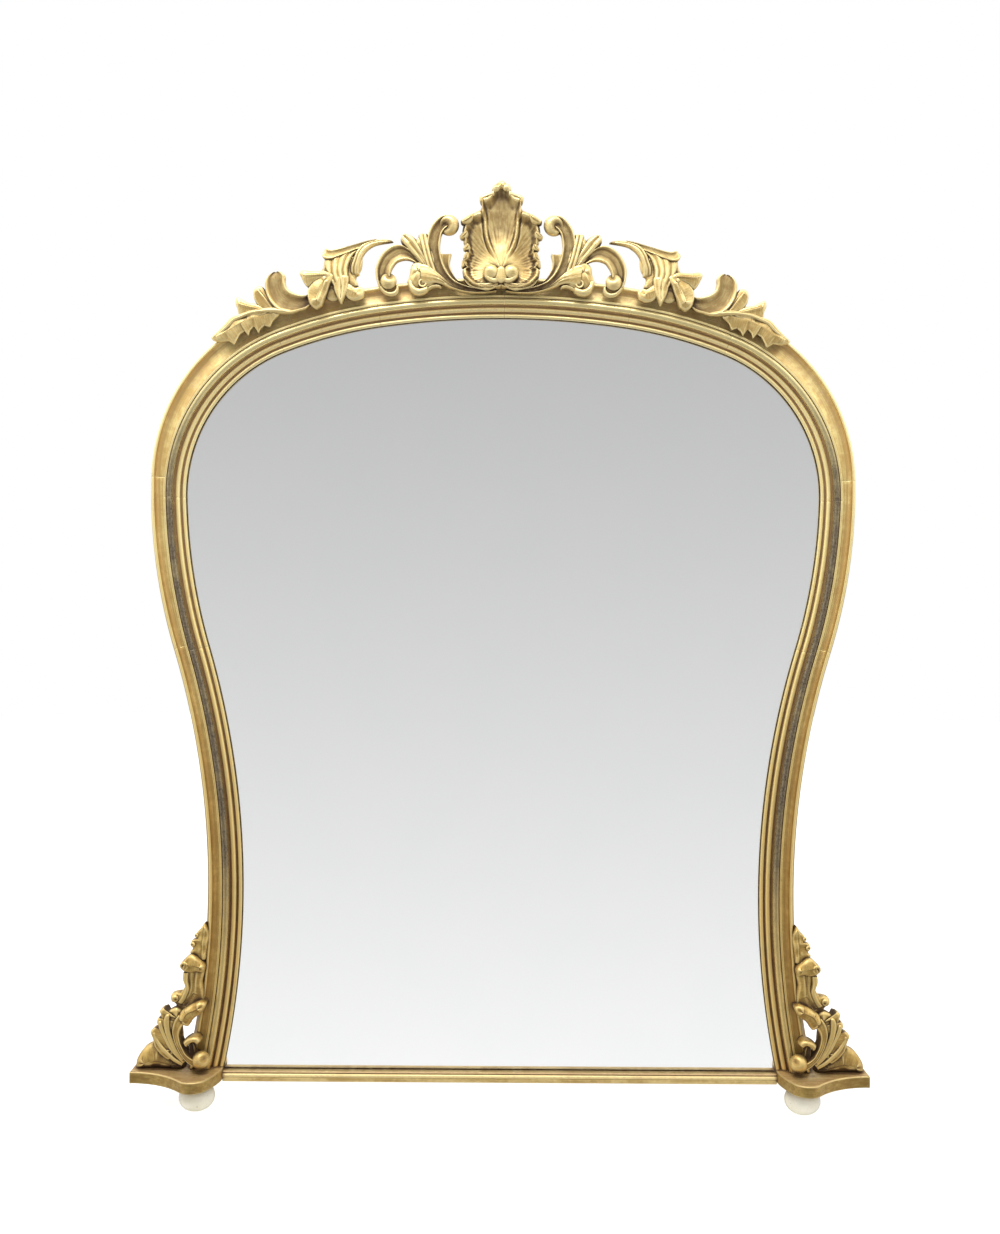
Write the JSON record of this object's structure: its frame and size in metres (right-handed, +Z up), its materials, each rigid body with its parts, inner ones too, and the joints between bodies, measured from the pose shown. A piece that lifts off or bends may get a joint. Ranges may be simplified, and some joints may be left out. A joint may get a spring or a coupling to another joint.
{
  "type": "pier mirror",
  "caption": "Arched, waisted giltwood wall mirror with a shell crest, leafy scrolls beside the legs, serpentine plinths on bun feet and ring hangers at the back",
  "frame": {"origin": "on the floor line of the two feet, at the middle of the width and of the whole depth", "axes": "+X to the viewer's right, +Y towards the wall, +Z up; the glass faces -Y"},
  "size_m": [1.26, 0.1082, 1.578],
  "materials": {
    "oil_gilding": "gilded gesso on pine, rubbed and speckled with wear",
    "carved_gilding": "gilded carving with dark, dirty hollows",
    "plinth_gilding": "gilding worn through to warm red-brown clay",
    "porcelain": "cream glaze",
    "plate_glass": "clear and polished",
    "silvering": "bright silver with a painted back",
    "pine_blocks": "sawn",
    "pine_boards": "planed and aged",
    "birch_dowels": "turned",
    "steel_screws": "dull",
    "brass_screws": "dull",
    "hanger_brass": "stamped, tarnished",
    "forged_iron": "blackened",
    "cork": "hard brown pad"
  },
  "bodies": {
    "mirror": {"frame_head_left": "oil_gilding", "frame_head_right": "oil_gilding", "frame_shoulder_left": "oil_gilding", "frame_shoulder_right": "oil_gilding", "frame_belly_left": "oil_gilding", "frame_belly_right": "oil_gilding", "frame_leg_left": "oil_gilding", "frame_leg_right": "oil_gilding", "sight_crown_left": "oil_gilding", "sight_crown_right": "oil_gilding", "sight_haunch_left": "oil_gilding", "sight_haunch_right": "oil_gilding", "sight_shoulder_left": "oil_gilding", "sight_shoulder_right": "oil_gilding", "sight_belly_left": "oil_gilding", "sight_belly_right": "oil_gilding", "sight_leg_left": "oil_gilding", "sight_leg_right": "oil_gilding", "crest_inner_scroll_left": "carved_gilding", "crest_inner_scroll_right": "carved_gilding", "crest_leaf_left": "carved_gilding", "crest_leaf_right": "carved_gilding", "crest_outer_scroll_left": "carved_gilding", "crest_outer_scroll_right": "carved_gilding", "spray_upper_left": "carved_gilding", "spray_upper_right": "carved_gilding", "spray_lower_left": "carved_gilding", "spray_lower_right": "carved_gilding", "side_leaf_left": "carved_gilding", "side_leaf_right": "carved_gilding", "side_scroll_left": "carved_gilding", "side_scroll_right": "carved_gilding", "mound_leaf_left": "carved_gilding", "mound_leaf_right": "carved_gilding", "crest_shell": "carved_gilding", "plinth_left": "plinth_gilding", "plinth_right": "plinth_gilding", "bottom_rail": "plinth_gilding", "bun_foot_left": "porcelain", "bun_foot_right": "porcelain", "hanger_plate_left": "hanger_brass", "hanger_plate_right": "hanger_brass", "mirror_glass": "plate_glass", "silvering": "silvering", "glazing_blocks": "pine_blocks", "backboard_1": "pine_boards", "backboard_2": "pine_boards", "backboard_3": "pine_boards", "backboard_4": "pine_boards", "board_screws": "steel_screws", "plinth_screws": "steel_screws", "foot_screws": "steel_screws", "strap_screws": "steel_screws", "hanger_screws": "brass_screws", "dowels": "birch_dowels", "crest_strap": "forged_iron", "wall_pads": "cork"},
    "left_ring_body": {"hanger_ring_left": "hanger_brass"},
    "right_ring_body": {"hanger_ring_right": "hanger_brass"}
  },
  "joints": [
    {"name": "left_ring_swing", "type": "hinge", "parent": "mirror", "child": "left_ring_body", "pos_m": [-0.587, 0.05061, 1.052], "axis": [1, 0, 0], "range_deg": [0, 180]},
    {"name": "right_ring_swing", "type": "hinge", "parent": "mirror", "child": "right_ring_body", "pos_m": [0.587, 0.05061, 1.052], "axis": [1, 0, 0], "range_deg": [0, 180]}
  ]
}
